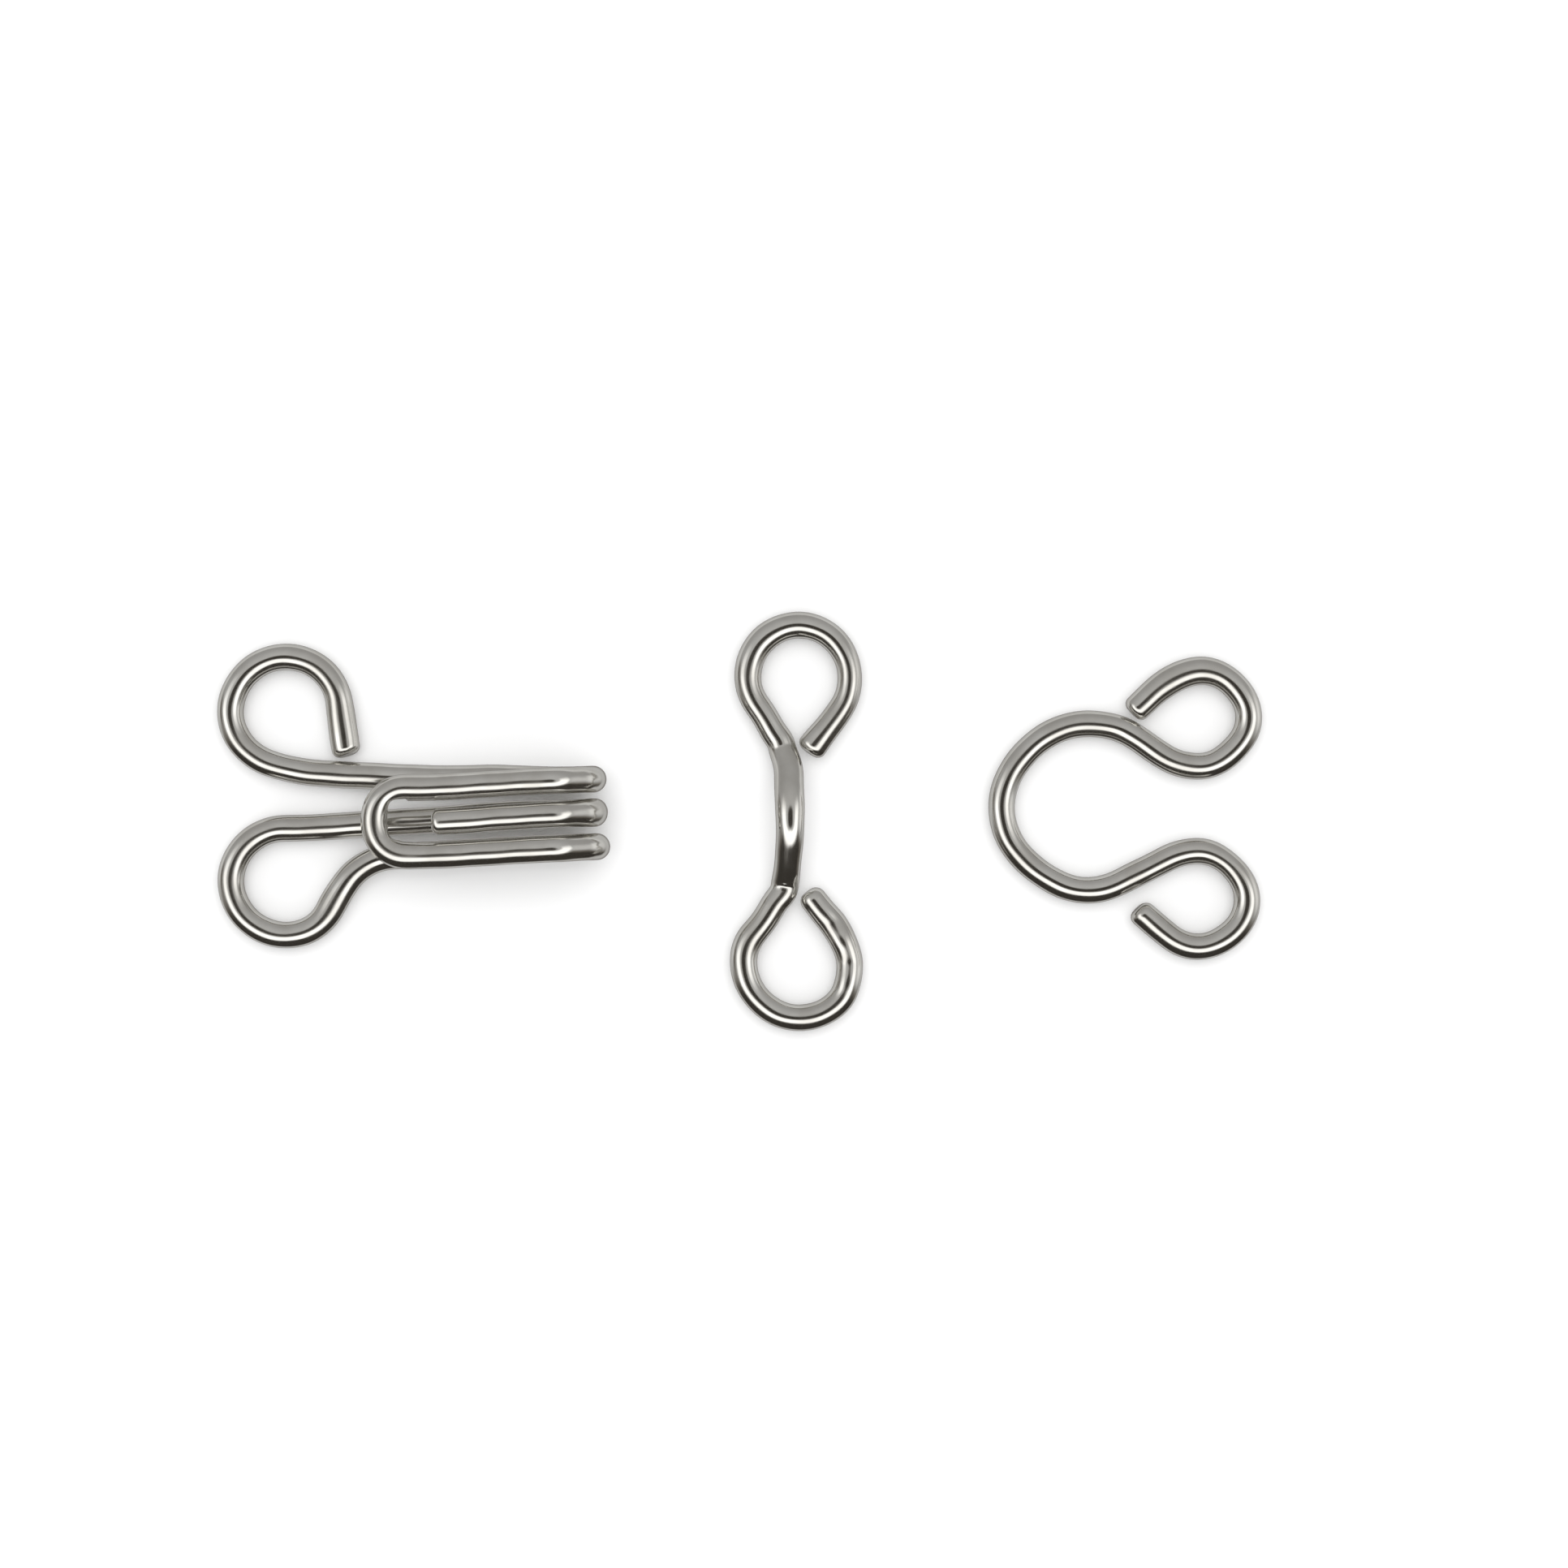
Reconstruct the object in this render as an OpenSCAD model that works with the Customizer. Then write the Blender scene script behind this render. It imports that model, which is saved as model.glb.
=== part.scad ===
// Sewing hook with its straight eye and its round eye, laid out flat beside each other.
// Each of the three is one length of nickel-plated steel wire, bent to shape and cut off at both ends.
// Millimetres, +Z up, the table at Z = 0, origin under the middle of the whole layout.

/* [Wire] */
// Diameter of the wire
wire_d = 1; // [0.9:0.02:1.06]
// Gap between two strands of the hook that run side by side
strand_gap = 0.27; // [0.2:0.01:0.34]

/* [Hook] */
// Open height between the base and the tongue, where the eye's wire goes in
throat = 1.35; // [1.1:0.05:1.6]
// Angle by which the tongue sinks towards its tip
tongue_tilt = 2; // [0:0.5:4]
// Straight run of the tongue, from the end bends to its rounded tip
tongue_len = 5.8; // [5.5:0.1:7]
// Length of the middle prong, from its end bend to its cut end
prong_len = 4.95; // [4:0.05:5]
// Distance behind the end bends where the base legs start to splay
splay_start = 0.6; // [0.4:0.1:1]
// Radius of the slight curves that splay the base legs
splay_r = 40; // [30:5:60]

/* [Hook's upper loop] */
// Inside diameter
upper_bore = 3.12; // [2.9:0.02:3.2]
// Distance of its centre behind the end bends
upper_back = 10.42; // [10:0.02:11]
// Distance of its centre outside the outer base leg
upper_out = 2.96; // [2.94:0.01:3.1]
// Radius of the gentle curve from the loop into its base leg
flow_r = 7; // [5:0.25:7.5]
// Place on the loop where that curve begins, as an angle round the loop
flow_angle = 250; // [246:1:251]
// Slant of the end strand
end_slant = 9; // [6:0.5:11]
// Length of the end strand
end_len = 2; // [1.7:0.02:2.02]

/* [Hook's lower loop] */
// Inside diameter
lower_bore = 3.12; // [2.8:0.02:3.3]
// Distance of its centre behind the end bends
lower_back = 10.6; // [10.2:0.02:12]
// Distance by which its top lies outside the middle leg's line
lower_drop = 0.14; // [0.06:0.01:0.3]
// Distance of the neck's centre behind the end bends
neck_back = 6.45; // [6:0.05:6.8]
// Radius of the neck
neck_r = 2.1; // [1.6:0.1:2.4]
// Distance by which the base leg spreads outwards on its way to the neck
neck_spread = 0.1; // [0.05:0.01:0.2]

/* [Straight eye] */
// Length of the bar between its two kinks
bar_len = 5.45; // [5.2:0.05:7]
// Height of the bar's flat crown above its ends
bar_rise = 1.1; // [0.7:0.05:1.3]
// Length of the bar's flat crown
crown_len = 0.3; // [0.2:0.1:1.2]
// Radius of the bends at both ends of the crown
crown_r = 1.8; // [1.2:0.1:2]
// Sideways lean of the bar's arch
bar_lean = 10; // [0:1:15]
// Radius of the tight kinks at the ends of the bar
kink_r = 0.6; // [0.58:0.01:0.66]
// Inside diameter of the top loop
top_bore = 2.82; // [2.6:0.02:3]
// Distance of the top loop's centre beyond its kink
top_beyond = 2.6; // [2.5:0.02:3]
// Distance of the top loop's centre beside the bar's line
top_aside = 0.59; // [0.5:0.01:0.7]
// Distance of the top loop's cut end beside the bar's line
top_end_aside = 1.04; // [1.02:0.01:1.2]
// Distance of the top loop's cut end before its kink
top_end_before = 0.12; // [0:0.01:0.3]
// Inside diameter of the foot loop
foot_bore = 2.96; // [2.7:0.02:3.2]
// Distance of the foot loop's centre beyond its kink
foot_beyond = 2.95; // [2.8:0.02:3.2]
// Distance of the foot loop's centre beside the bar's line
foot_aside = 0.33; // [0.25:0.01:0.5]
// Distance of the foot loop's cut end beside the bar's line
foot_end_aside = 1; // [0.96:0.01:1.2]
// Distance of the foot loop's cut end beyond its kink
foot_end_beyond = 0.42; // [0.4:0.01:0.7]

/* [Round eye] */
// Inside diameter of the ring
ring_bore = 5.35; // [5.2:0.05:5.5]
// Inside diameter of the two sewing loops
loop_bore = 2.65; // [2.5:0.05:2.8]
// Distance of the loops' centres in front of the ring's centre
loop_reach = 4.37; // [4.3:0.01:4.6]
// Distance of the loops' centres to either side of the ring's centre
loop_spread = 3.42; // [3.38:0.01:3.6]
// Radius of the gentle curves from the loops into the ring
merge_r = 2.7; // [2.4:0.05:3]
// Place on a loop where that curve begins, as an angle past the loop's inmost point
merge_angle = 2; // [0:1:8]
// Radius of the gentle curve at the upper loop's free end
upper_end_r = 3; // [2.6:0.05:3.1]
// Place on the upper loop where that curve ends, as an angle past the loop's top
upper_end_angle = 10; // [5:1:15]
// Distance of the upper cut end in front of the ring's centre
upper_tip_reach = 1.9; // [1.85:0.01:2.1]
// Height of the upper cut end's middle above the ring
upper_tip_gap = 0.1; // [0.08:0.01:0.2]
// Distance of the lower cut end in front of the ring's centre
lower_tip_reach = 2.03; // [1.9:0.01:2.3]
// Depth of the lower cut end's middle below the ring
lower_tip_gap = 0.25; // [0.15:0.01:0.4]

/* [Layout] */
// Distance from the middle of the straight eye to the hook's end bends
hook_away = 8.37; // [8:0.01:12]
// Turn of the hook on the table
hook_turn = 1.7; // [-5:0.1:5]
// Distance by which the hook's middle lies above the straight eye's middle
hook_up = 0.06; // [-1:0.01:1]
// Turn of the straight eye on the table
bar_turn = 0.8; // [-5:0.1:5]
// Distance from the middle of the straight eye to the ring's centre
ring_away = 11.37; // [11:0.01:14]
// Turn of the round eye on the table
ring_turn = -0.6; // [-5:0.1:5]
// Distance by which the ring's centre lies above the straight eye's middle
ring_up = 0.33; // [-1:0.01:1]

/* [Hidden] */
$fn = 64;

// Radii along the middle of the wire, and the hook's spacing
wire_r = wire_d / 2;
pitch = wire_d + strand_gap;
bend_r = (wire_d + throat) / 2;
upper_r = (upper_bore + wire_d) / 2;
lower_r = (lower_bore + wire_d) / 2;
top_r = (top_bore + wire_d) / 2;
foot_r = (foot_bore + wire_d) / 2;
ring_r = (ring_bore + wire_d) / 2;
loop_r = (loop_bore + wire_d) / 2;
bar_half = bar_len / 2;
shortest = 0.1; // strands shorter than this are left out
seam = 0.03; // strands and bends stop this far short of each other, and a bead joins them
bead_r = wire_r - 0.01; // a bead is just thinner than the wire

// A wire is described by the pins it is bent round, in order. A pin is [x, y, radius, turn], where turn is
// 1 for a bend to the left, -1 for a bend to the right, and 0 with radius 0 for a point on the wire's line.
left = 1;
right = -1;
function pin(at, radius, turn) = [at[0], at[1], radius, turn];
function point(at) = pin(at, 0, 0);
function along(angle) = [cos(angle), sin(angle)];

// Pin of a wider curve that flows on from a loop at one place round it
function flow(loop, loop_radius, radius, angle, turn) = pin(loop - (radius - loop_radius) * along(angle), radius, turn);

// Heading of the straight strand from pin a to pin b, which touches both
function heading(a, b) =
    let (way = [b[0] - a[0], b[1] - a[1]], side = (b[3] * b[2] - a[3] * a[2]) / norm(way))
    atan2(way[1], way[0]) - asin(max(-1, min(1, side)));

// Place on a pin where a strand with this heading touches it
function touch(p, angle) = [p[0] + p[3] * p[2] * sin(angle), p[1] - p[3] * p[2] * cos(angle)];

// Angle in the range 0 to 360
function round_angle(angle) = (angle % 360 + 360) % 360;

// Bend about the origin, from one angle on by another
module bend(radius, start, sweep) {
    trim = seam / radius * 180 / PI;
    rotate([0, 0, start + trim])
        rotate_extrude(angle = sweep - 2 * trim)
            translate([radius, 0])
                circle(d = wire_d);
}

// Straight strand between two pins
module strand(a, b) {
    angle = heading(a, b);
    from = touch(a, angle);
    length = norm(touch(b, angle) - from);
    if (length > shortest)
        translate([from[0], from[1], 0])
            rotate([0, 90, angle])
                translate([0, 0, seam])
                    cylinder(h = length - 2 * seam, d = wire_d);
}

// Bead that joins two pieces of a wire, with its poles on the wire's line
module bead(at, angle) {
    translate([at[0], at[1], 0])
        rotate([0, 90, angle])
            sphere(r = bead_r);
}

// Bend round the middle one of three pins
module bend_round(before, p, after) {
    way_in = heading(before, p);
    way_out = heading(p, after);
    sweep = round_angle((way_out - way_in) * p[3]);
    start = p[3] == left ? way_in - 90 : way_out + 90;
    translate([p[0], p[1], 0])
        bend(p[2], start, sweep);
    // One bead where the bend begins, and one where it ends in a strand: a bend that follows brings its own
    bead(touch(p, way_in), way_in);
    if (norm(touch(after, way_out) - touch(p, way_out)) > shortest)
        bead(touch(p, way_out), way_out);
}

// Wire in the plane Z = 0, bent round the pins
module wire(pins) {
    for (i = [0 : len(pins) - 2])
        strand(pins[i], pins[i + 1]);
    for (i = [1 : len(pins) - 2])
        bend_round(pins[i - 1], pins[i], pins[i + 1]);
}

// Centres of the sewing loops, each in its own wire's frame
upper_loop = [-upper_back, pitch + upper_out];
lower_loop = [-lower_back, -lower_drop - lower_r];
top_loop = [top_aside, bar_half + top_beyond];
foot_loop = [foot_aside, -bar_half - foot_beyond];
ring_upper_loop = [loop_reach, loop_spread];
ring_lower_loop = [loop_reach, -loop_spread];

// Hook: from the upper cut end round the upper loop to the outer end bend
upper_base = [
    point(upper_loop + upper_r * along(end_slant) + end_len * along(end_slant - 90)),
    pin(upper_loop, upper_r, left),
    flow(upper_loop, upper_r, flow_r, flow_angle, left),
    pin([-splay_start, pitch + splay_r], splay_r, left),
    point([0, pitch]),
];
// The tongue: along one side, round the tip and back
tongue = [
    point([0, pitch]),
    pin([-tongue_len, 0], pitch, left),
    point([0, -pitch]),
];
// From the other outer end bend through the neck, round the lower loop to the middle end bend
lower_base = [
    point([0, -pitch]),
    pin([-splay_start, -pitch - splay_r], splay_r, left),
    pin([-neck_back, -pitch - neck_spread - neck_r], neck_r, left),
    pin(lower_loop, lower_r, right),
    pin([-splay_start, -splay_r], splay_r, right),
    point([0, 0]),
];
// The prong that the wire ends with, between the two sides of the tongue
prong = [point([0, 0]), point([-prong_len, 0])];

// Straight eye: the top loop from its cut end to the kink, and the foot loop the other way round
top_run = [
    point([top_end_aside, bar_half - top_end_before]),
    pin(top_loop, top_r, left),
    pin([-kink_r, bar_half], kink_r, right),
    point([0, bar_half]),
];
foot_run = [
    point([0, -bar_half]),
    pin([-kink_r, -bar_half], kink_r, right),
    pin(foot_loop, foot_r, left),
    point([foot_end_aside, -bar_half - foot_end_beyond]),
];
// The bar seen from its side: distance along it, height
arch = [
    point([bar_half, 0]),
    pin([bar_half, kink_r], kink_r, right),
    pin([crown_len / 2, bar_rise - crown_r], crown_r, left),
    pin([-crown_len / 2, bar_rise - crown_r], crown_r, left),
    pin([-bar_half, kink_r], kink_r, right),
    point([-bar_half, 0]),
];

// Round eye: from the upper cut end round the upper loop, the ring and the lower loop
ring_run = [
    point([upper_tip_reach, ring_r + wire_r + upper_tip_gap]),
    flow(ring_upper_loop, loop_r, upper_end_r, 90 + upper_end_angle, right),
    pin(ring_upper_loop, loop_r, right),
    flow(ring_upper_loop, loop_r, merge_r, 270 - merge_angle, right),
    pin([0, 0], ring_r, left),
    flow(ring_lower_loop, loop_r, merge_r, 90 + merge_angle, right),
    pin(ring_lower_loop, loop_r, right),
    point([lower_tip_reach, -ring_r - wire_r - lower_tip_gap]),
];

// Where the three wires lie, seen from the middle of the straight eye
hook_at = [-hook_away, hook_up];
ring_at = [ring_away, ring_up];
function turned(at, turn) = [at[0] * cos(turn) - at[1] * sin(turn), at[0] * sin(turn) + at[1] * cos(turn)];

// The sewing loops reach furthest out, so their outer circles give the middle of the layout
circles = [
    pin(hook_at + turned(upper_loop, hook_turn), upper_r + wire_r, 0),
    pin(hook_at + turned(lower_loop, hook_turn), lower_r + wire_r, 0),
    pin(turned(top_loop, bar_turn), top_r + wire_r, 0),
    pin(turned(foot_loop, bar_turn), foot_r + wire_r, 0),
    pin(ring_at + turned(ring_upper_loop, ring_turn), loop_r + wire_r, 0),
    pin(ring_at + turned(ring_lower_loop, ring_turn), loop_r + wire_r, 0),
];
function middle(axis) =
    (min([for (c = circles) c[axis] - c[2]]) + max([for (c = circles) c[axis] + c[2]])) / 2;
layout_middle = [middle(0), middle(1)];

// Lays a wire on the table at its place
module lay(at, turn) {
    translate([at[0] - layout_middle[0], at[1] - layout_middle[1], wire_r])
        rotate([0, 0, turn])
            children();
}

// Bend that takes a base leg up and over into the tongue's plane
module end_bend() {
    bend(bend_r, -90, 180 + tongue_tilt);
    bead(bend_r * along(-90), 0);
    bead(bend_r * along(90 + tongue_tilt), tongue_tilt);
}

// One wire: two sewing loops, three end bends, the tongue above the base, and the prong inside the tongue
module hook() {
    color("silver")
        lay(hook_at, hook_turn) {
            wire(upper_base);
            wire(lower_base);
            for (y = [pitch, 0, -pitch])
                translate([0, y, bend_r])
                    rotate([90, 0, 0])
                        end_bend();
            translate([0, 0, bend_r])
                rotate([0, -tongue_tilt, 0])
                    translate([0, 0, bend_r]) {
                        wire(tongue);
                        wire(prong);
                    }
        }
}

// One wire: an arched bar with a kink and a sewing loop at each end
module straight_eye() {
    color("silver")
        lay([0, 0], bar_turn) {
            wire(top_run);
            wire(foot_run);
            rotate([0, bar_lean, 0])
                rotate([90, 0, 90])
                    wire(arch);
        }
}

// One wire: an open ring with a sewing loop at each end
module round_eye() {
    color("silver")
        lay(ring_at, ring_turn)
            wire(ring_run);
}

hook();
straight_eye();
round_eye();
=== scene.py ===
"""Sewing hook, straight eye and round eye of nickel-plated wire, laid out flat on a pale floor.

Each of the three is one length of wire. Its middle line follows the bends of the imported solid, except that
the hook's closed end is pressed flatter. A fine round mesh is swept along it, with the pinches, pressed marks
and cut ends that bending and cutting leave. Lengths are millimetres up to the last step, where the meshes are
turned into metres, and angles are degrees.
"""

import math

import bmesh
import bpy
import numpy as np
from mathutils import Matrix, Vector


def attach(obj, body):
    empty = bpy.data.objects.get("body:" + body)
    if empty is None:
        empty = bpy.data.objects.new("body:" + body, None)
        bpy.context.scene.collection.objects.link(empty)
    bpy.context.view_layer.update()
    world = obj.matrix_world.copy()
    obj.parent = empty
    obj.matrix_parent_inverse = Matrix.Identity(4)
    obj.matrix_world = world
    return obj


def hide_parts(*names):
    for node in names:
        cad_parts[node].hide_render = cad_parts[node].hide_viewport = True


MM = 0.001
LEFT = 1
RIGHT = -1

# Wire
WIRE_R = 0.5
PITCH = 1.27

# Hook
THROAT = 1.35
BEND_R = WIRE_R + THROAT / 2
TONGUE_TILT = 2
TONGUE_LEN = 5.8
PRONG_LEN = 4.95
SPLAY_START = 0.6
SPLAY_R = 40
UPPER_BORE = 3.12
UPPER_BACK = 10.42
UPPER_OUT = 2.96
FLOW_R = 7
FLOW_ANGLE = 250
END_SLANT = 9
END_LEN = 2
LOWER_BORE = 3.12
LOWER_BACK = 10.6
LOWER_DROP = 0.14
NECK_BACK = 6.45
NECK_R = 2.1
NECK_SPREAD = 0.1

# Straight eye
BAR_LEN = 5.45
BAR_RISE = 1.1
CROWN_LEN = 0.3
CROWN_R = 1.8
BAR_LEAN = 10
KINK_R = 0.6
TOP_BORE = 2.82
TOP_BEYOND = 2.6
TOP_ASIDE = 0.59
TOP_END_ASIDE = 1.04
TOP_END_BEFORE = 0.12
FOOT_BORE = 2.96
FOOT_BEYOND = 2.95
FOOT_ASIDE = 0.33
FOOT_END_ASIDE = 1
FOOT_END_BEYOND = 0.42

# Round eye
RING_BORE = 5.35
LOOP_BORE = 2.65
LOOP_REACH = 4.37
LOOP_SPREAD = 3.42
MERGE_R = 2.7
MERGE_ANGLE = 2
UPPER_END_R = 3
UPPER_END_ANGLE = 10
UPPER_TIP_REACH = 1.9
UPPER_TIP_GAP = 0.1
LOWER_TIP_REACH = 2.03
LOWER_TIP_GAP = 0.25

# Layout, seen from the middle of the straight eye
HOOK_AT, HOOK_TURN = (-8.37, 0.06), 1.7
BAR_AT, BAR_TURN = (0, 0), 0.8
RING_AT, RING_TURN = (11.37, 0.33), -0.6

# Fineness of the meshes: a step along the wire, points round it, and rings on the edge and face of a cut end
STEP = 0.07
SIDES = 48
ROUNDING_RINGS = 7
CUT_RINGS = 5

# The hook's closed end as the press leaves it: heel, nose, crease and shoulder, up from base to tongue
HEEL_R = 0.95
NOSE_R = 0.6
CREASE_AT, CREASE_R = (0.44, 1.32), 0.5
SHOULDER_R = 1.0
SHOULDER_BACK = 0.4
SHOULDER_END = 0.6

# What bending leaves: eased bends, fading marks, a squared opening in the tongue, and faint waves, each with
# its turns in radians to a millimetre, its lobes round the wire and its start
EASE = 0.1
MARK_FADE = 1.6
WINDOW_FORWARD = 0.07
WINDOW_AT = np.array([WINDOW_FORWARD - TONGUE_LEN, 0])
WINDOW_SQUARENESS = 5
WAVE = 0.005
WAVES = [(4.3, 2, 0), (2.6, -1, 1.7)]

# Cut ends: how far from the end the slant of its face reaches, and the spare wire that is added and cut off
SLANT_REACH = 1.2
SPARE = 1.0

# Metal: colours and roughnesses of the nickel plate and of the bare steel on the cut ends, how many lines,
# stains and shear marks there are to a millimetre, and the part of a noise's range that is used
PLATE = (0.67, 0.66, 0.63, 1)
STAINED = (0.6, 0.585, 0.55, 1)
STEEL = (0.5, 0.49, 0.475, 1)
PLATE_ROUGHNESS = (0.1, 0.15)
LINE_ROUGHNESS = 0.05
STEEL_ROUGHNESS = 0.3
LINE_STRETCH = (0.15, 9, 9)
LINE_DETAIL = 2
STAIN_STRETCH = (0.9, 0.9, 0.9)
SHEAR_STRETCH = (1, 2, 14)
SPOT_DETAIL = 3
RELIEF = 0.0008
NOISE_LOW, NOISE_HIGH = 0.35, 0.65

# Numbers of the mix node's sockets, whose names repeat: share, then A, B and result as values or as colours
MIX_SHARE = 0
MIX_VALUES = (2, 3, 0)
MIX_COLOURS = (6, 7, 2)


def along(angle):
    """Direction at an angle from the x axis."""
    return np.array([math.cos(math.radians(angle)), math.sin(math.radians(angle))])


def radius_of(bore):
    """Radius of a loop along the middle of its wire."""
    return bore / 2 + WIRE_R


def pin(at, radius, turn):
    """A pin that the wire is bent round."""
    return np.array(at, float), radius, turn


def point(at):
    return pin(at, 0, 0)


def flow(loop, loop_radius, radius, angle, turn):
    """Pin of a wider curve that flows on from a loop at one place round it."""
    return pin(np.array(loop) - (radius - loop_radius) * along(angle), radius, turn)


def heading(a, b):
    """Heading of the straight strand from pin a to pin b, which touches both."""
    way = b[0] - a[0]
    side = (b[2] * b[1] - a[2] * a[1]) / np.hypot(*way)
    return math.degrees(math.atan2(way[1], way[0]) - math.asin(np.clip(side, -1, 1)))


def run(pins):
    """Middle line of a wire bent round the pins, as points in its own plane."""
    ways = [heading(a, b) for a, b in zip(pins, pins[1:])]
    points = [pins[0][0]]
    for way_in, (at, radius, turn), way_out in zip(ways, pins[1:], ways[1:]):
        sweep = (way_out - way_in) * turn % 360
        count = max(2, math.ceil(math.radians(sweep) * radius / STEP * 2))
        for share in np.linspace(0, 1, count):
            points.append(at + radius * along(way_in - 90 * turn + turn * sweep * share))
    points.append(pins[-1][0])
    return np.array(points)


def upright(points, x, y, z):
    """Points of a plane in space, where each axis is given by the two coordinates in the plane."""
    u, v = points.T
    return np.stack([x(u, v), y(u, v), z(u, v)], axis=1)


def flat(pins):
    return upright(run(pins), lambda u, v: u, lambda u, v: v, lambda u, v: 0 * u)


def hook_line():
    """Middle line of the hook, from the upper cut end to the end of the prong."""
    upper_r, lower_r = radius_of(UPPER_BORE), radius_of(LOWER_BORE)
    upper_loop = np.array([-UPPER_BACK, PITCH + UPPER_OUT])
    lower_loop = np.array([-LOWER_BACK, -LOWER_DROP - lower_r])
    tilt_cos, tilt_sin = along(TONGUE_TILT)

    def raised(pins):
        return upright(
            run(pins),
            lambda u, v: u * tilt_cos - BEND_R * tilt_sin,
            lambda u, v: v,
            lambda u, v: u * tilt_sin + BEND_R * (1 + tilt_cos),
        )

    def end_bend(y):
        """The wire's turn at the closed end, from the base up to the tongue."""
        pivot, ahead, up = np.array([0, BEND_R]), along(TONGUE_TILT), along(90 + TONGUE_TILT)
        side = run([
            point([0, 0]),
            pin([BEND_R - HEEL_R, HEEL_R], HEEL_R, LEFT),
            pin([BEND_R - NOSE_R, HEEL_R], NOSE_R, LEFT),
            pin(CREASE_AT, CREASE_R, LEFT),
            pin(pivot - SHOULDER_BACK * ahead + (BEND_R - SHOULDER_R) * up, SHOULDER_R, LEFT),
            point(pivot - SHOULDER_END * ahead + BEND_R * up),
        ])
        return np.array([[x, y, z] for x, z in side])

    upper_base = flat([
        point(upper_loop + upper_r * along(END_SLANT) + END_LEN * along(END_SLANT - 90)),
        pin(upper_loop, upper_r, LEFT),
        flow(upper_loop, upper_r, FLOW_R, FLOW_ANGLE, LEFT),
        pin([-SPLAY_START, PITCH + SPLAY_R], SPLAY_R, LEFT),
        point([0, PITCH]),
    ])
    tongue = raised([
        point([-SHOULDER_END, PITCH]),
        pin([-TONGUE_LEN, 0], PITCH, LEFT),
        point([-SHOULDER_END, -PITCH]),
    ])
    lower_base = flat([
        point([0, -PITCH]),
        pin([-SPLAY_START, -PITCH - SPLAY_R], SPLAY_R, LEFT),
        pin([-NECK_BACK, -PITCH - NECK_SPREAD - NECK_R], NECK_R, LEFT),
        pin(lower_loop, lower_r, RIGHT),
        pin([-SPLAY_START, -SPLAY_R], SPLAY_R, RIGHT),
        point([0, 0]),
    ])
    prong = raised([point([-SHOULDER_END, 0]), point([-PRONG_LEN, 0])])
    return np.concatenate([
        upper_base, end_bend(PITCH), tongue, end_bend(-PITCH)[::-1], lower_base, end_bend(0), prong,
    ])


def straight_eye_line():
    """Middle line of the straight eye, from the top cut end to the foot's cut end."""
    half = BAR_LEN / 2
    top_loop, foot_loop = [TOP_ASIDE, half + TOP_BEYOND], [FOOT_ASIDE, -half - FOOT_BEYOND]
    lean_cos, lean_sin = along(BAR_LEAN)
    top = flat([
        point([TOP_END_ASIDE, half - TOP_END_BEFORE]),
        pin(top_loop, radius_of(TOP_BORE), LEFT),
        pin([-KINK_R, half], KINK_R, RIGHT),
        point([0, half]),
    ])
    foot = flat([
        point([0, -half]),
        pin([-KINK_R, -half], KINK_R, RIGHT),
        pin(foot_loop, radius_of(FOOT_BORE), LEFT),
        point([FOOT_END_ASIDE, -half - FOOT_END_BEYOND]),
    ])
    arch = run([
        point([half, 0]),
        pin([half, KINK_R], KINK_R, RIGHT),
        pin([CROWN_LEN / 2, BAR_RISE - CROWN_R], CROWN_R, LEFT),
        pin([-CROWN_LEN / 2, BAR_RISE - CROWN_R], CROWN_R, LEFT),
        pin([-half, KINK_R], KINK_R, RIGHT),
        point([-half, 0]),
    ])
    bar = upright(arch, lambda u, v: v * lean_sin, lambda u, v: u, lambda u, v: v * lean_cos)
    return np.concatenate([top, bar, foot])


def round_eye_line():
    """Middle line of the round eye, from the upper cut end to the lower one."""
    ring_r, loop_r = radius_of(RING_BORE), radius_of(LOOP_BORE)
    upper_loop, lower_loop = [LOOP_REACH, LOOP_SPREAD], [LOOP_REACH, -LOOP_SPREAD]
    return flat([
        point([UPPER_TIP_REACH, ring_r + WIRE_R + UPPER_TIP_GAP]),
        flow(upper_loop, loop_r, UPPER_END_R, 90 + UPPER_END_ANGLE, RIGHT),
        pin(upper_loop, loop_r, RIGHT),
        flow(upper_loop, loop_r, MERGE_R, 270 - MERGE_ANGLE, RIGHT),
        pin([0, 0], ring_r, LEFT),
        flow(lower_loop, loop_r, MERGE_R, 90 + MERGE_ANGLE, RIGHT),
        pin(lower_loop, loop_r, RIGHT),
        point([LOWER_TIP_REACH, -ring_r - WIRE_R - LOWER_TIP_GAP]),
    ])


def distances(line):
    """Distance of each point of a line from the line's start."""
    return np.concatenate([[0], np.cumsum(np.linalg.norm(np.diff(line, axis=0), axis=1))])


def even(line, step):
    """The same line with points a step apart."""
    far = distances(line)
    return at_places(line, np.linspace(0, far[-1], round(far[-1] / step) + 1))


def at_places(line, places):
    """Points of the line at these distances from its start."""
    far = distances(line)
    return np.stack([np.interp(places, far, axis) for axis in line.T], axis=1)


def eased(line):
    """The line with the sharp starts of its bends eased, as in springy wire. Its ends stay where they are."""
    spacing = STEP / 2
    fine = even(line, spacing)
    reach = math.ceil(3 * EASE / spacing)
    weights = np.exp(-0.5 * (np.arange(-reach, reach + 1) * spacing / EASE) ** 2)
    before = 2 * fine[0] - fine[reach:0:-1]
    after = 2 * fine[-1] - fine[-2 : -reach - 2 : -1]
    padded = np.concatenate([before, fine, after])
    return np.stack([np.convolve(axis, weights / weights.sum(), "valid") for axis in padded.T], axis=1)


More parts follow.
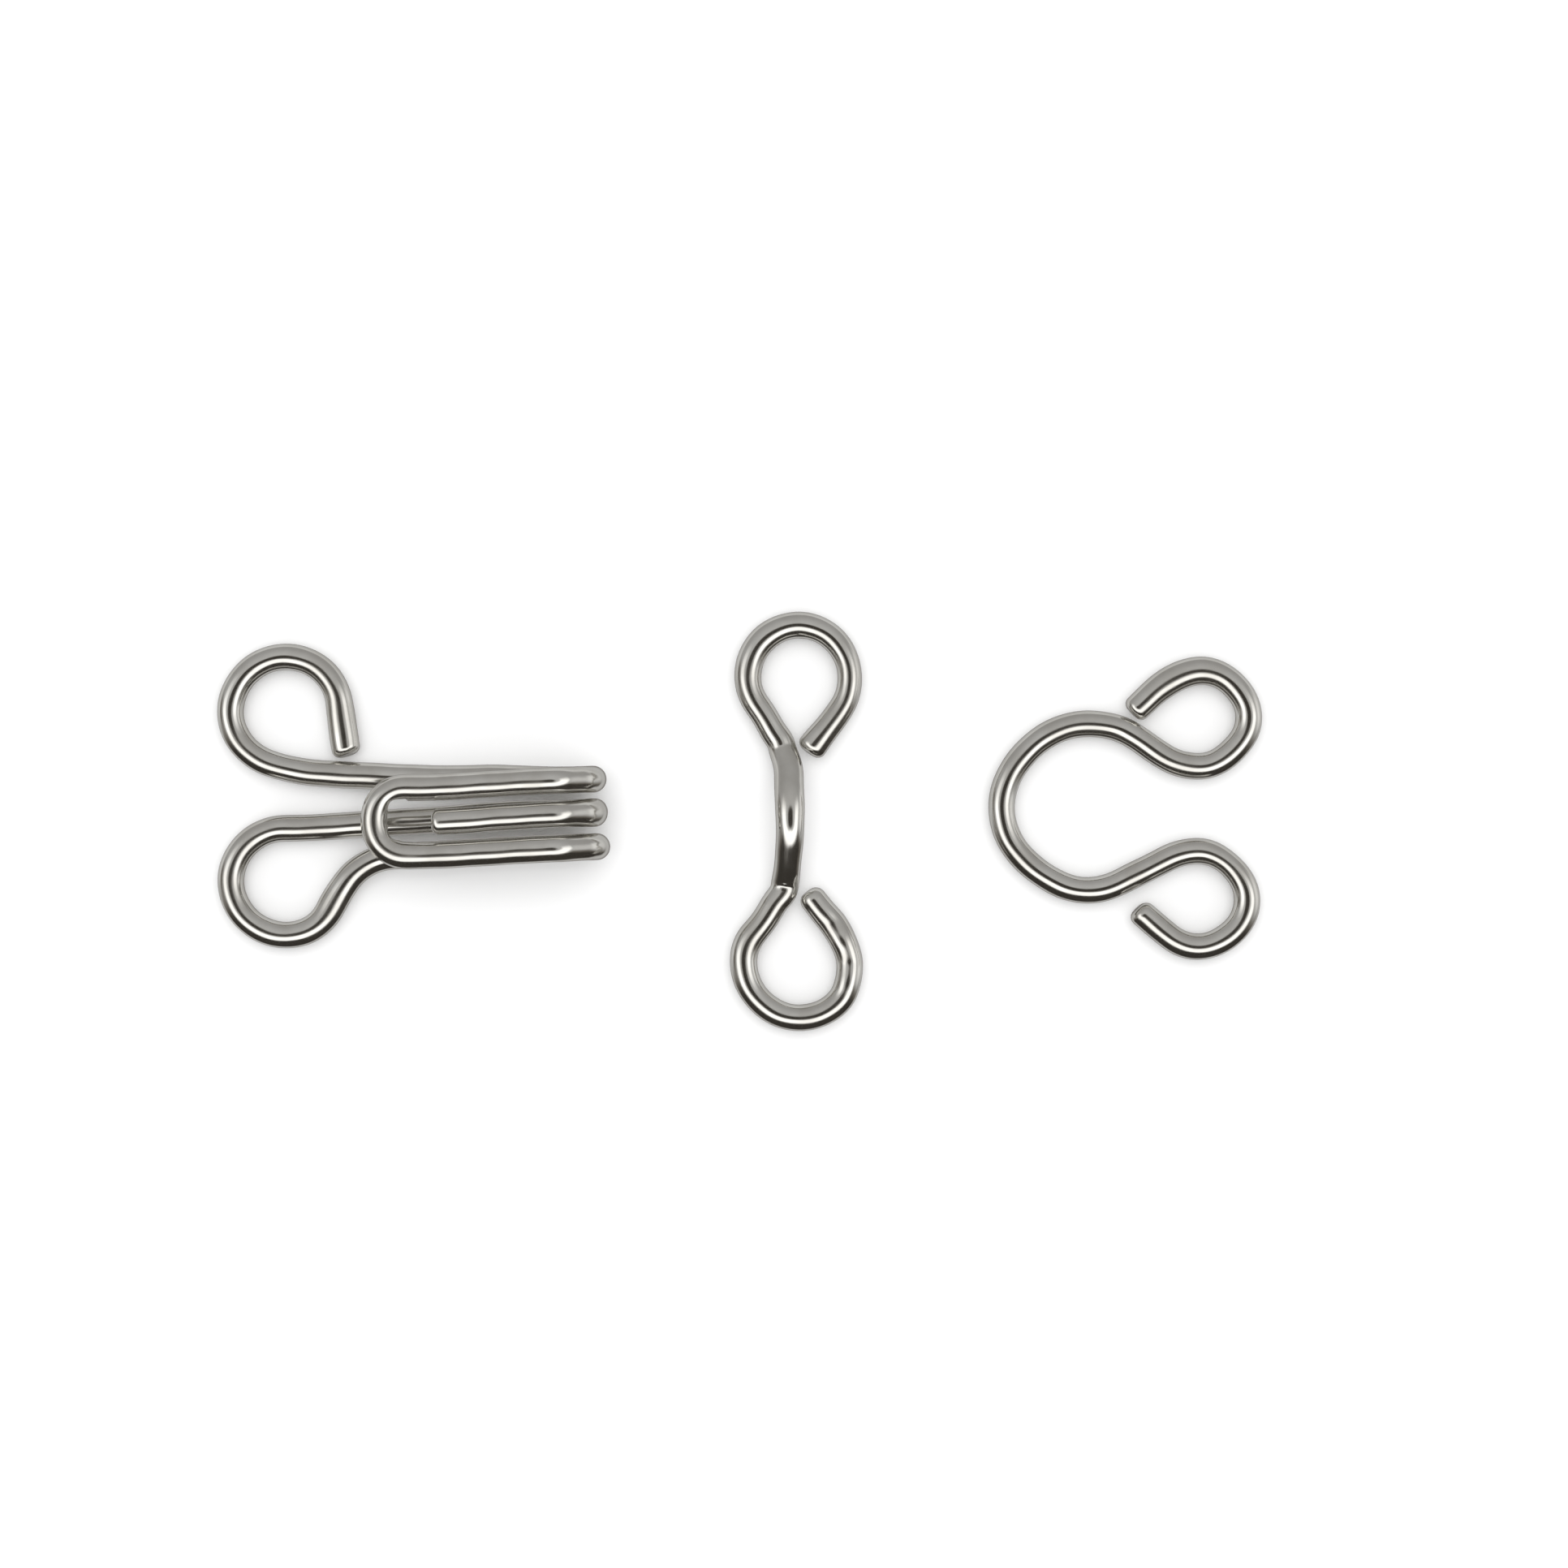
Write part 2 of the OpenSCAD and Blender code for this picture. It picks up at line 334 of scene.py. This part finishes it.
def lengthened(line, first, last):
    """The line made longer by these amounts at its two ends, or shorter where they are negative."""
    before = line[0] + SPARE * (line[0] - line[1]) / np.linalg.norm(line[0] - line[1])
    after = line[-1] + SPARE * (line[-1] - line[-2]) / np.linalg.norm(line[-1] - line[-2])
    long = np.concatenate([[before], line, [after]])
    length = distances(long)[-1] - 2 * SPARE + first + last
    return at_places(long, SPARE - first + np.linspace(0, length, round(length / STEP * 2)))


def nearness(points, at, reach):
    """1 at a place, fading to 0 a few reaches away."""
    return np.exp(-((np.linalg.norm(points - np.array(at), axis=-1) / reach) ** 2))


def nudged(line, nudges):
    """The line moved a little near some places."""
    moved = line.copy()
    for bend in nudges:
        moved += nearness(line, bend["at"], bend["reach"])[:, None] * np.array(bend["by"])
    return moved


def frames(line):
    """Directions along, beside and above each point of the line. They turn with the wire, without twist."""
    ahead = np.gradient(line, axis=0)
    ahead /= np.linalg.norm(ahead, axis=1, keepdims=True)
    above = np.zeros_like(ahead)
    last = np.array([0.0, 0.0, 1.0])
    for i, way in enumerate(ahead):
        last = last - way * last.dot(way)
        last /= np.linalg.norm(last)
        above[i] = last
    return ahead, np.cross(above, ahead), above


def rounded_places(length, edges):
    """Distances of the rings along the wire, closer together where the edges of its cut ends are rounded."""
    share = 1 - np.sin(np.linspace(0, math.pi / 2, ROUNDING_RINGS))
    first, last = edges[0] * share[::-1], length - edges[1] * share
    count = round((length - sum(edges)) / STEP)
    body = np.linspace(edges[0], length - edges[1], count + 1)
    return np.concatenate([first[:-1], body, last[1:]])


def edge_scale(gap, edge):
    """Share of the section that is left at a distance from a cut end with a rounded edge."""
    inside = np.clip(1 - gap / edge, 0, 1)
    return 1 - edge / WIRE_R * (1 - np.sqrt(1 - inside**2))


def pinched(line, squeezes):
    """Half the wire's width and half its height along the line."""
    width, height = np.full(len(line), WIRE_R), np.full(len(line), WIRE_R)
    for pinch in squeezes:
        near = nearness(line, pinch["at"], pinch["reach"])
        width *= 1 + (pinch["width"] - 1) * near
        height *= 1 + (pinch["height"] - 1) * near
    return width, height


def swept(line, looks):
    """Rings of points round the line, from the middle of one cut face to the middle of the other.

    With each point come its place along and across the drawn wire, and whether it is on a bare cut face.
    """
    ends = looks["ends"]
    line = lengthened(nudged(eased(line), looks["nudges"]), ends[0]["longer"], ends[1]["longer"])
    length = distances(line)[-1]
    places = rounded_places(length, [end["edge"] for end in ends])
    line = at_places(line, places)
    ahead, beside, above = frames(line)
    width, height = pinched(line, looks["squeezes"])
    shrink = edge_scale(places, ends[0]["edge"]) * edge_scale(length - places, ends[1]["edge"])
    # The cut faces are rings too, which shrink to the middle
    faces = np.linspace(1, 0, CUT_RINGS + 1)[1:]
    order = np.pad(np.arange(len(line)), CUT_RINGS, mode="edge")
    bare = np.pad(np.zeros(len(line) - 2), CUT_RINGS + 1, constant_values=1)
    shrink = np.concatenate([shrink[0] * faces[::-1], shrink, shrink[-1] * faces])
    places = places[order][:, None]

    angles = np.linspace(0, 2 * math.pi, SIDES, endpoint=False)
    waves = [np.sin(rate * places + lobes * angles + start) for rate, lobes, start in WAVES]
    ripple = 1 + WAVE * sum(waves)
    across = (width[order] * shrink)[:, None] * np.cos(angles) * ripple
    upward = (height[order] * shrink)[:, None] * np.sin(angles) * ripple
    forward = np.zeros_like(across)
    for end, gap, inwards in ((ends[0], places, 1), (ends[1], length - places, -1)):
        share = np.clip(1 - gap / SLANT_REACH, 0, 1) ** 2
        forward += inwards * share * (end["slant"] * across + end["lean"] * upward)
    rings = (
        line[order][:, None, :]
        + across[..., None] * beside[order][:, None, :]
        + upward[..., None] * above[order][:, None, :]
        + forward[..., None] * ahead[order][:, None, :]
    )
    drawn = np.stack([places + 0 * across, across, upward], axis=-1)
    return rings, drawn, np.repeat(bare[:, None, None], SIDES, axis=1)


def pressed(points, marks):
    """Points with flat marks pressed in. Each is a plane a little under the wire's skin, fading outwards."""
    for press in marks:
        facing = np.array(press["facing"], float)
        facing /= np.linalg.norm(facing)
        away = points - np.array(press["at"])
        above = away @ facing - (WIRE_R - press["depth"])
        aside = np.linalg.norm(away - (away @ facing)[..., None] * facing, axis=-1)
        share = 1 - ramp(aside, press["reach"], MARK_FADE * press["reach"])
        points = points - (np.clip(above, 0, None) * share)[..., None] * facing
    return points


def opened(points):
    """The hook's points with the inside of the tongue's tip pressed towards a square, as by a mandrel."""
    away = points[..., :2] - WINDOW_AT
    far = np.linalg.norm(away, axis=-1)
    power = WINDOW_SQUARENESS
    wall = (PITCH - WIRE_R) * ((np.abs(away) / far[..., None]) ** power).sum(-1) ** (-1 / power)
    inside = (far < wall) & (away[..., 0] < 0) & (points[..., 2] > THROAT)
    moved = points.copy()
    moved[..., :2] = WINDOW_AT + away * np.where(inside, wall / far, 1)[..., None]
    return moved


def make_mesh(name, rings, drawn, bare):
    """Closed mesh from rings of points. Its two outmost rings have no size, so each becomes one point."""
    count = len(rings) - 2

    def joined(values):
        width = values.shape[-1]
        return np.concatenate([values[1:-1].reshape(-1, width), values[:1, 0], values[-1:, 0]])

    first, last = count * SIDES, count * SIDES + 1
    faces = []
    for j in range(SIDES):
        k = (j + 1) % SIDES
        faces.append((first, k, j))
        faces.append((last, (count - 1) * SIDES + j, (count - 1) * SIDES + k))
        for i in range(count - 1):
            faces.append((i * SIDES + j, i * SIDES + k, (i + 1) * SIDES + k, (i + 1) * SIDES + j))
    mesh = bpy.data.meshes.new(name)
    mesh.from_pydata((joined(rings) * MM).tolist(), [], faces)
    mesh.shade_smooth()
    mesh.attributes.new("drawn", "FLOAT_VECTOR", "POINT").data.foreach_set("vector", joined(drawn).ravel())
    mesh.attributes.new("bare", "FLOAT", "POINT").data.foreach_set("value", joined(bare).ravel())
    mesh.update()
    piece = bpy.data.objects.new(name, mesh)
    bpy.context.scene.collection.objects.link(piece)
    return piece


def make_metal():
    """Bright nickel plate: fine lines along the drawn wire, faint stains, and bare steel on the cut ends."""
    material = bpy.data.materials.new("nickel_plate")
    material.use_nodes = True
    tree = material.node_tree
    shader = tree.nodes["Principled BSDF"]
    shader.inputs["Metallic"].default_value = 1

    def node(kind, output, inputs, **settings):
        """A new node's output. Each input is a number, a vector or another node's output."""
        made = tree.nodes.new(kind)
        for name, value in settings.items():
            setattr(made, name, value)
        for name, value in inputs.items():
            if isinstance(value, bpy.types.NodeSocket):
                tree.links.new(value, made.inputs[name])
            else:
                made.inputs[name].default_value = value
        return made.outputs[output]

    def noise(vector, stretch, detail):
        scaled = node("ShaderNodeVectorMath", "Vector", {0: vector, 1: stretch}, operation="MULTIPLY")
        return node("ShaderNodeTexNoise", "Fac", {"Vector": scaled, "Scale": 1, "Detail": detail})

    def ranged(value, low, high):
        limits = {"From Min": NOISE_LOW, "From Max": NOISE_HIGH, "To Min": low, "To Max": high}
        return node("ShaderNodeMapRange", "Result", {"Value": value, **limits})

    def mixed(share, a, b, sockets=MIX_VALUES, kind="FLOAT"):
        """From a to b by the share."""
        in_a, in_b, result = sockets
        return node("ShaderNodeMix", result, {MIX_SHARE: share, in_a: a, in_b: b}, data_type=kind)

    def blended(share, a, b):
        return mixed(share, a, b, MIX_COLOURS, "RGBA")

    drawn = node("ShaderNodeAttribute", "Vector", {}, attribute_name="drawn")
    bare = node("ShaderNodeAttribute", "Fac", {}, attribute_name="bare")
    lines = noise(drawn, LINE_STRETCH, LINE_DETAIL)
    stains = noise(drawn, STAIN_STRETCH, SPOT_DETAIL)
    shears = noise(drawn, SHEAR_STRETCH, SPOT_DETAIL)
    colour = blended(bare, blended(ranged(stains, 0, 1), PLATE, STAINED), STEEL)
    stained, lined = ranged(stains, *PLATE_ROUGHNESS), ranged(lines, 0, LINE_ROUGHNESS)
    rubbed = node("ShaderNodeMath", "Value", {0: stained, 1: lined}, operation="ADD")
    rough = mixed(bare, rubbed, STEEL_ROUGHNESS)
    height = mixed(bare, lines, shears)
    normal = node("ShaderNodeBump", "Normal", {"Strength": 1, "Distance": RELIEF * MM, "Height": height})
    for name, value in (("Base Color", colour), ("Roughness", rough), ("Normal", normal)):
        tree.links.new(value, shader.inputs[name])
    return material


def ramp(value, low, high):
    """0 below low, 1 above high, with a soft step between them."""
    share = np.clip((value - low) / (high - low), 0, 1)
    return share * share * (3 - 2 * share)


def band(value, low, high, soft):
    """1 between low and high, with soft steps to 0 on both sides."""
    return ramp(value, low - soft, low + soft) * (1 - ramp(value, high - soft, high + soft))


def turned(points, turn):
    """Places on the table turned round its upright axis."""
    cos, sin = along(turn)
    x, y = points[..., 0], points[..., 1]
    return np.stack([x * cos - y * sin, x * sin + y * cos], axis=-1)


def placed(points, at, turn, middle):
    """Points of a wire's own frame, moved to their place on the table."""
    flat_part = turned(points, turn) + np.array(at) - middle
    height = np.clip(points[..., 2:] + WIRE_R, 0, None)
    return np.concatenate([flat_part, height], axis=-1)


def on_loop(loop, angle):
    """Place on the wire of the straight eye's foot loop, at an angle round it."""
    return np.array(loop) + radius_of(FOOT_BORE) * along(angle)


def squeeze(at, reach, width, height):
    """A pinch that changes the wire's width and height here to these shares of their size."""
    return {"at": at, "reach": reach, "width": width, "height": height}


def nudge(at, reach, by, up=0, lift=0):
    """A small bend sideways, and up by a lift. The middle of its reach is this far up over the base."""
    return {"at": [*at, up], "reach": reach, "by": [*by, lift]}


def mark(at, reach, facing, depth):
    """A flat that a tool pressed in, with the direction it faces."""
    return {"at": at, "reach": reach, "facing": facing, "depth": depth}


def cut(edge, slant, lean, longer):
    """A cut end: radius of its edge, how far its face falls back to one side and at the top, and how much
    longer the wire is here than the solid."""
    return {"edge": edge, "slant": slant, "lean": lean, "longer": longer}


# What each wire shows of its making, in its own frame. Widths and heights are shares of the wire's thickness
TONGUE_UP = 2.15
FOOT_LOOP = [FOOT_ASIDE, -BAR_LEN / 2 - FOOT_BEYOND]
LOOKS = {
    "hook": {
        "squeezes": [
            squeeze([BEND_R, 0, BEND_R], 0.8, 1.08, 0.97),
            squeeze([-TONGUE_LEN - PITCH, 0, TONGUE_UP], 0.8, 1.0, 0.93),
            squeeze([-6.1, -PITCH, TONGUE_UP], 0.6, 1.03, 0.95),
            squeeze([-8.1, 3.3, 0], 1.2, 1.1, 0.92),
            squeeze([-8.8, -3.0, 0], 1.0, 1.08, 0.96),
        ],
        "nudges": [
            nudge([0.6, 0], 2.0, [0, 0.05], up=1.2),
            nudge([BEND_R, 0], 1.3, [0.04, 0], up=BEND_R),
            nudge([BEND_R, -PITCH], 0.8, [0.07, 0], up=BEND_R),
            nudge([-TONGUE_LEN - PITCH, 0], 1.2, [0.1, 0], up=TONGUE_UP),
            nudge([-4.7, 0], 2.4, [0, -0.17], up=3.5),
            nudge([-2.5, PITCH], 1.9, [0, 0.2], up=-1),
            nudge([-7.8, 2.9], 1.4, [-0.1, -0.03]),
            nudge([-12.3, 3.6], 1.8, [-0.065, 0.03]),
            nudge([-12.3, -2.2], 1.5, [-0.055, 0]),
            nudge([-8.46, -2.7], 1.4, [-0.11, 0.08]),
            nudge([-9.5, -0.1], 2.3, [0, -0.09]),
        ],
        "marks": [],
        "ends": [cut(0.26, -0.08, 0.15, 0.05), cut(0.27, 0, 0, -0.14)],
    },
    "straight_eye": {
        "squeezes": [
            squeeze([0.1, 1.0, 0.9], 1.9, 1.13, 0.95),
            squeeze([0, -BAR_LEN / 2, 0], 0.6, 1.06, 0.9),
            squeeze([TOP_END_ASIDE, 2.7, 0], 0.7, 1.06, 1.0),
            squeeze([2.5, 5.4, 0], 1.3, 0.92, 1.0),
            squeeze([-0.9, 6.6, 0], 1.3, 1.05, 1.0),
            squeeze([-1.5, -5.0, 0], 1.2, 1.05, 1.0),
            squeeze([1.7, -4.2, 0], 0.9, 1.07, 0.97),
        ],
        "nudges": [
            nudge([-0.15, 3.12], 0.8, [-0.13, -0.09]),
            nudge([0.08, 1.8], 0.7, [0.08, 0], up=0.45),
            nudge([2.0, 4.0], 1.2, [0.1, -0.07]),
            nudge([-1.25, 4.75], 0.9, [-0.03, 0]),
            nudge([-0.27, -3.24], 0.7, [-0.1, 0.07]),
            nudge([-1.4, -5.0], 0.9, [-0.04, 0.03]),
            nudge([-1.15, -7.0], 1.4, [0.06, 0.05]),
            nudge([1.95, -6.8], 1.3, [0.1, -0.09]),
            nudge([1.85, -4.35], 1.0, [0.06, 0.04]),
            nudge(on_loop(FOOT_LOOP, 50), 0.32, [0.015, 0.01], lift=-0.03),
            nudge(on_loop(FOOT_LOOP, 27), 0.3, [-0.02, 0], lift=0.035),
            nudge(on_loop(FOOT_LOOP, 5), 0.3, [0.015, 0], lift=-0.03),
            nudge(on_loop(FOOT_LOOP, -18), 0.35, [-0.015, 0.01], lift=0.03),
        ],
        "marks": [mark([0, -2.5, 0.05], 0.15, [-0.1, -0.3, 0.95], 0.03)],
        "ends": [cut(0.3, 0, 0.07, 0.24), cut(0.38, 0, 0, 0.34)],
    },
    "round_eye": {
        "squeezes": [
            squeeze([3.4, 5.0, 0], 1.7, 1.1, 1.0),
            squeeze([5.66, -1.95, 0], 1.0, 0.92, 1.0),
        ],
        "nudges": [
            nudge([2.9, 2.0], 1.0, [0, -0.045]),
            nudge([-2.25, 2.25], 1.7, [0.075, -0.085]),
            nudge([-1.9, -2.55], 1.7, [0.11, 0.13]),
            nudge([2.8, 4.6], 1.3, [0.05, -0.06]),
            nudge([1.6, 2.7], 1.0, [0.05, 0.09]),
            nudge([5.7, 4.7], 0.9, [-0.04, -0.04]),
            nudge([5.7, 2.1], 1.0, [-0.09, 0.09]),
            nudge([5.6, -2.1], 1.0, [-0.07, -0.08]),
            nudge([5.5, -5.0], 1.0, [-0.03, 0.04]),
            nudge([2.0, -3.5], 1.0, [0, 0.1]),
        ],
        "marks": [],
        "ends": [cut(0.28, 0, 0, 0.27), cut(0.32, -0.1, 0.07, 0.04)],
    },
}

# Camera, in millimetres: its place over the floor, the width that the picture takes in at the height of the
# wires' middle, and the width of its sensor. The nearest thing that it sees is in metres
CAMERA_AT = (1.646, 1.42, 150.5)
PICTURE_WIDTH = 59.446
SENSOR = 36
NEAREST = 0.01

# Light tent that the metal mirrors: its radius in metres, its fineness, its tints where it is dark and from
# the full-tint glow upwards, and the fall of its glow between two angles down from the top
TENT_R = 1.0
TENT_SEGMENTS, TENT_RINGS = 180, 120
DARK_TINT = np.array([1, 0.9, 0.78])
LIGHT_TINT = np.array([1, 0.995, 0.985])
FULL_TINT_GLOW = 0.5
TOP_GLOW, RIM_GLOW = 0.6, 0.42
GLOW_FALL = (15, 85)

# The tent's dark opening at the top: half its size in degrees, how far it lies to the south as a share of the
# radius, and where its soft edge starts and ends as shares of its size
OPENING_GLOW = 0.05
OPENING_HALF_WIDTH, OPENING_HALF_HEIGHT = 19, 15
OPENING_SHIFT = 0.03
OPENING_EDGE = (0.65, 1.15)

# Floor, lamp and backdrop: radius, place and size in metres, power in watts
FLOOR_R = 0.9
FLOOR_SIDES = 96
FLOOR_COLOUR = (0.9, 0.9, 0.9, 1)
LAMP_AT = (0, 0.1, 0.5)
LAMP_SIZE = 0.6
LAMP_WATTS = 1.15
BACKDROP_COLOUR = (1, 1, 1, 1)


def zone(glow, down, south=(-90, 270), soft=4, fade=12, shift=(0, 0), half=0):
    """Part of the tent: its glow, its reach down from the top and round from the south, how soft its edges
    are, how much further down they lie at the sides, and 1 or -1 for the east or west half alone."""
    return {
        "glow": glow,
        "down": down,
        "south": south,
        "soft": soft,
        "fade": fade,
        "shift": shift,
        "half": half,
    }


ZONES = [
    zone(0.75, (64, 98), south=(70, 110)),
    zone(0.78, (98, 270)),
    zone(0.62, (114, 270), soft=6),
    zone(0.25, (150, 270), soft=15),
    zone(1.0, (78, 101), south=(68, 114), half=1),
    zone(1.65, (18, 48), south=(-90, 108), soft=3, fade=22, shift=(14, 11)),
    zone(0.05, (51, 123), south=(-90, 71), soft=3, fade=21, shift=(19, 0), half=1),
    zone(0.05, (51, 123), south=(-90, 75), soft=3, fade=21, shift=(19, -8), half=-1),
    zone(0.2, (70, 94), south=(75, 108), soft=3, half=-1),
]


def tent_colours(directions):
    """Colour of the light tent in each direction, brightness included."""
    x, y, z = directions.T
    down = np.degrees(np.arccos(np.clip(z, -1, 1)))
    # Angle round from the south, to either side
    south = np.abs((np.degrees(np.arctan2(y, x)) + 270) % 360 - 180)
    aside = np.clip(south / 90, 0, 1)
    glow = TOP_GLOW + (RIM_GLOW - TOP_GLOW) * ramp(down, *GLOW_FALL)
    for part in ZONES:
        low, high = (edge + shift * aside for edge, shift in zip(part["down"], part["shift"]))
        share = band(down, low, high, part["soft"]) * band(south, *part["south"], part["fade"])
        share = share * (part["half"] * x >= 0)
        glow = glow + (part["glow"] - glow) * share
    across = x / math.sin(math.radians(OPENING_HALF_WIDTH))
    upward = (y + OPENING_SHIFT) / math.sin(math.radians(OPENING_HALF_HEIGHT))
    share = (1 - ramp(np.hypot(across, upward), *OPENING_EDGE)) * (z > 0)
    glow = glow + (OPENING_GLOW - glow) * share
    tint = DARK_TINT + (LIGHT_TINT - DARK_TINT) * ramp(glow, OPENING_GLOW, FULL_TINT_GLOW)[:, None]
    return glow[:, None] * tint


def make_tent():
    """Sphere round everything that only the metal sees. Each of its points glows in its own colour."""
    mesh = bpy.data.meshes.new("tent")
    shape = bmesh.new()
    bmesh.ops.create_uvsphere(shape, u_segments=TENT_SEGMENTS, v_segments=TENT_RINGS, radius=TENT_R)
    shape.to_mesh(mesh)
    shape.free()
    directions = np.array([vertex.co.normalized() for vertex in mesh.vertices])
    colours = np.ones((len(directions), 4))
    colours[:, :3] = tent_colours(directions)
    mesh.attributes.new("glow", "FLOAT_COLOR", "POINT").data.foreach_set("color", colours.ravel())
    material = bpy.data.materials.new("tent")
    material.use_nodes = True
    material.cycles.emission_sampling = "NONE"
    tree = material.node_tree
    tree.nodes.clear()
    glow = tree.nodes.new("ShaderNodeAttribute")
    glow.attribute_name = "glow"
    light = tree.nodes.new("ShaderNodeEmission")
    surface = tree.nodes.new("ShaderNodeOutputMaterial")
    tree.links.new(glow.outputs["Color"], light.inputs["Color"])
    tree.links.new(light.outputs["Emission"], surface.inputs["Surface"])
    mesh.materials.append(material)
    tent = bpy.data.objects.new("tent", mesh)
    bpy.context.scene.collection.objects.link(tent)
    tent.visible_camera = False
    tent.visible_diffuse = False


def make_floor():
    """Pale matt floor. The wires don't mirror it."""
    bpy.ops.mesh.primitive_circle_add(vertices=FLOOR_SIDES, radius=FLOOR_R, fill_type="NGON")
    floor = bpy.context.object
    floor.name = "floor"
    floor.visible_glossy = False
    material = bpy.data.materials.new("floor")
    material.use_nodes = True
    shader = material.node_tree.nodes["Principled BSDF"]
    shader.inputs["Base Color"].default_value = FLOOR_COLOUR
    shader.inputs["Roughness"].default_value = 1
    shader.inputs["Specular IOR Level"].default_value = 0
    floor.data.materials.append(material)


def make_lamp():
    """Soft disc of light over the floor that faces its middle. The wires don't mirror it."""
    light = bpy.data.lights.new("overhead", "AREA")
    light.shape = "DISK"
    light.size = LAMP_SIZE
    light.energy = LAMP_WATTS
    lamp = bpy.data.objects.new("overhead", light)
    lamp.location = LAMP_AT
    lamp.rotation_euler = Vector(LAMP_AT).to_track_quat("Z", "Y").to_euler()
    lamp.visible_glossy = False
    lamp.visible_camera = False
    bpy.context.scene.collection.objects.link(lamp)


def make_camera():
    """Camera that looks straight down."""
    camera = bpy.data.cameras.new("camera")
    camera.sensor_width = SENSOR
    camera.lens = SENSOR * (CAMERA_AT[2] - WIRE_R) / PICTURE_WIDTH
    camera.clip_start = NEAREST
    eye = bpy.data.objects.new("camera", camera)
    eye.location = [MM * place for place in CAMERA_AT]
    bpy.context.scene.collection.objects.link(eye)
    bpy.context.scene.camera = eye


def make_backdrop():
    """Even white light from all round, and a picture that shows its colours as they are."""
    world = bpy.data.worlds.new("backdrop")
    world.use_nodes = True
    world.node_tree.nodes["Background"].inputs["Color"].default_value = BACKDROP_COLOUR
    bpy.context.scene.world = world
    bpy.context.scene.view_settings.view_transform = "Standard"


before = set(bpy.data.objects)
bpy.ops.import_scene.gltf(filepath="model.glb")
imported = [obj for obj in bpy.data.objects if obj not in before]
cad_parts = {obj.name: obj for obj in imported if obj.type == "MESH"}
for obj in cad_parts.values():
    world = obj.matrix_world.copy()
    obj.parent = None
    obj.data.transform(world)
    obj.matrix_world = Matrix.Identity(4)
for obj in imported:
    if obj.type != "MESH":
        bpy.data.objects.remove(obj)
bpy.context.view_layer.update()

wires = {
    "hook": (hook_line(), HOOK_AT, HOOK_TURN),
    "straight_eye": (straight_eye_line(), BAR_AT, BAR_TURN),
    "round_eye": (round_eye_line(), RING_AT, RING_TURN),
}
ground = np.concatenate([turned(line, turn) + np.array(at) for line, at, turn in wires.values()])
middle = (ground.min(0) + ground.max(0)) / 2

metal = make_metal()
for name, (line, at, turn) in wires.items():
    rings, drawn, bare = swept(line, LOOKS[name])
    rings = pressed(rings, LOOKS[name]["marks"])
    if name == "hook":
        rings = opened(rings)
    piece = make_mesh(name + "_wire", placed(rings, at, turn, middle), drawn, bare)
    piece.data.materials.append(metal)
    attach(piece, "root")
    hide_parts(name)

make_camera()
make_tent()
make_floor()
make_backdrop()
make_lamp()
